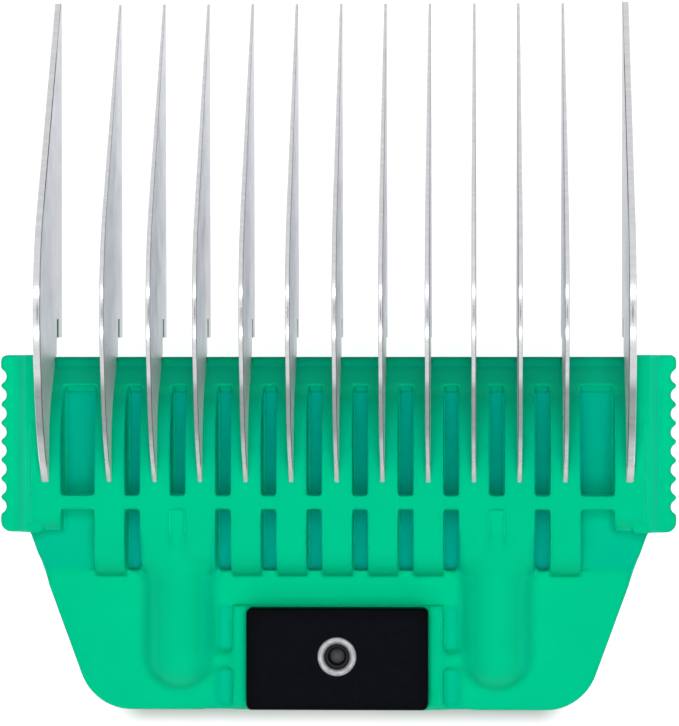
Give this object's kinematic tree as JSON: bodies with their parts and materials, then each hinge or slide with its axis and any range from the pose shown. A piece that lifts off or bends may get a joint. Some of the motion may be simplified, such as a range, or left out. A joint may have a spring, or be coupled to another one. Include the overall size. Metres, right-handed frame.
{
  "type": "clipper guard comb",
  "caption": "Clip-on guard comb for a detachable clipper blade: moulded body with serrated grips, upright steel tines with blade hooks, and a sprung sliding latch.",
  "frame": {"origin": "bottom centre of the bounding box, on the plane that the comb lies on with its blade side down", "axes": "+Z out of the skin side, square to the blade seat; +Y from the latch towards the tips of the tines; X across the comb"},
  "size_m": [0.0582, 0.0618, 0.0172],
  "materials": {
    "body_plastic": "satin moulded green",
    "tine_steel": "blanked and polished stainless",
    "block_plastic": "fine-textured black",
    "latch_steel": "bright nickel-plated",
    "spring_wire": "drawn spring wire"
  },
  "bodies": {
    "comb": {"body": "body_plastic", "tine_01": "tine_steel", "tine_02": "tine_steel", "tine_03": "tine_steel", "tine_04": "tine_steel", "tine_05": "tine_steel", "tine_06": "tine_steel", "tine_07": "tine_steel", "tine_08": "tine_steel", "tine_09": "tine_steel", "tine_10": "tine_steel", "tine_11": "tine_steel", "tine_12": "tine_steel", "tine_13": "tine_steel", "spring_left": "spring_wire", "spring_right": "spring_wire"},
    "latch": {"latch_block": "block_plastic", "catch_slide": "latch_steel", "latch_rivet": "latch_steel", "rivet_spacer": "latch_steel"}
  },
  "joints": [
    {"name": "latch_slide", "type": "slide", "parent": "comb", "child": "latch", "axis": [0, -1, 0], "range_m": [0, 0.002], "stiffness_N_per_m": 700, "springref_m": -0.0015, "deforming": ["spring_left", "spring_right"]}
  ]
}
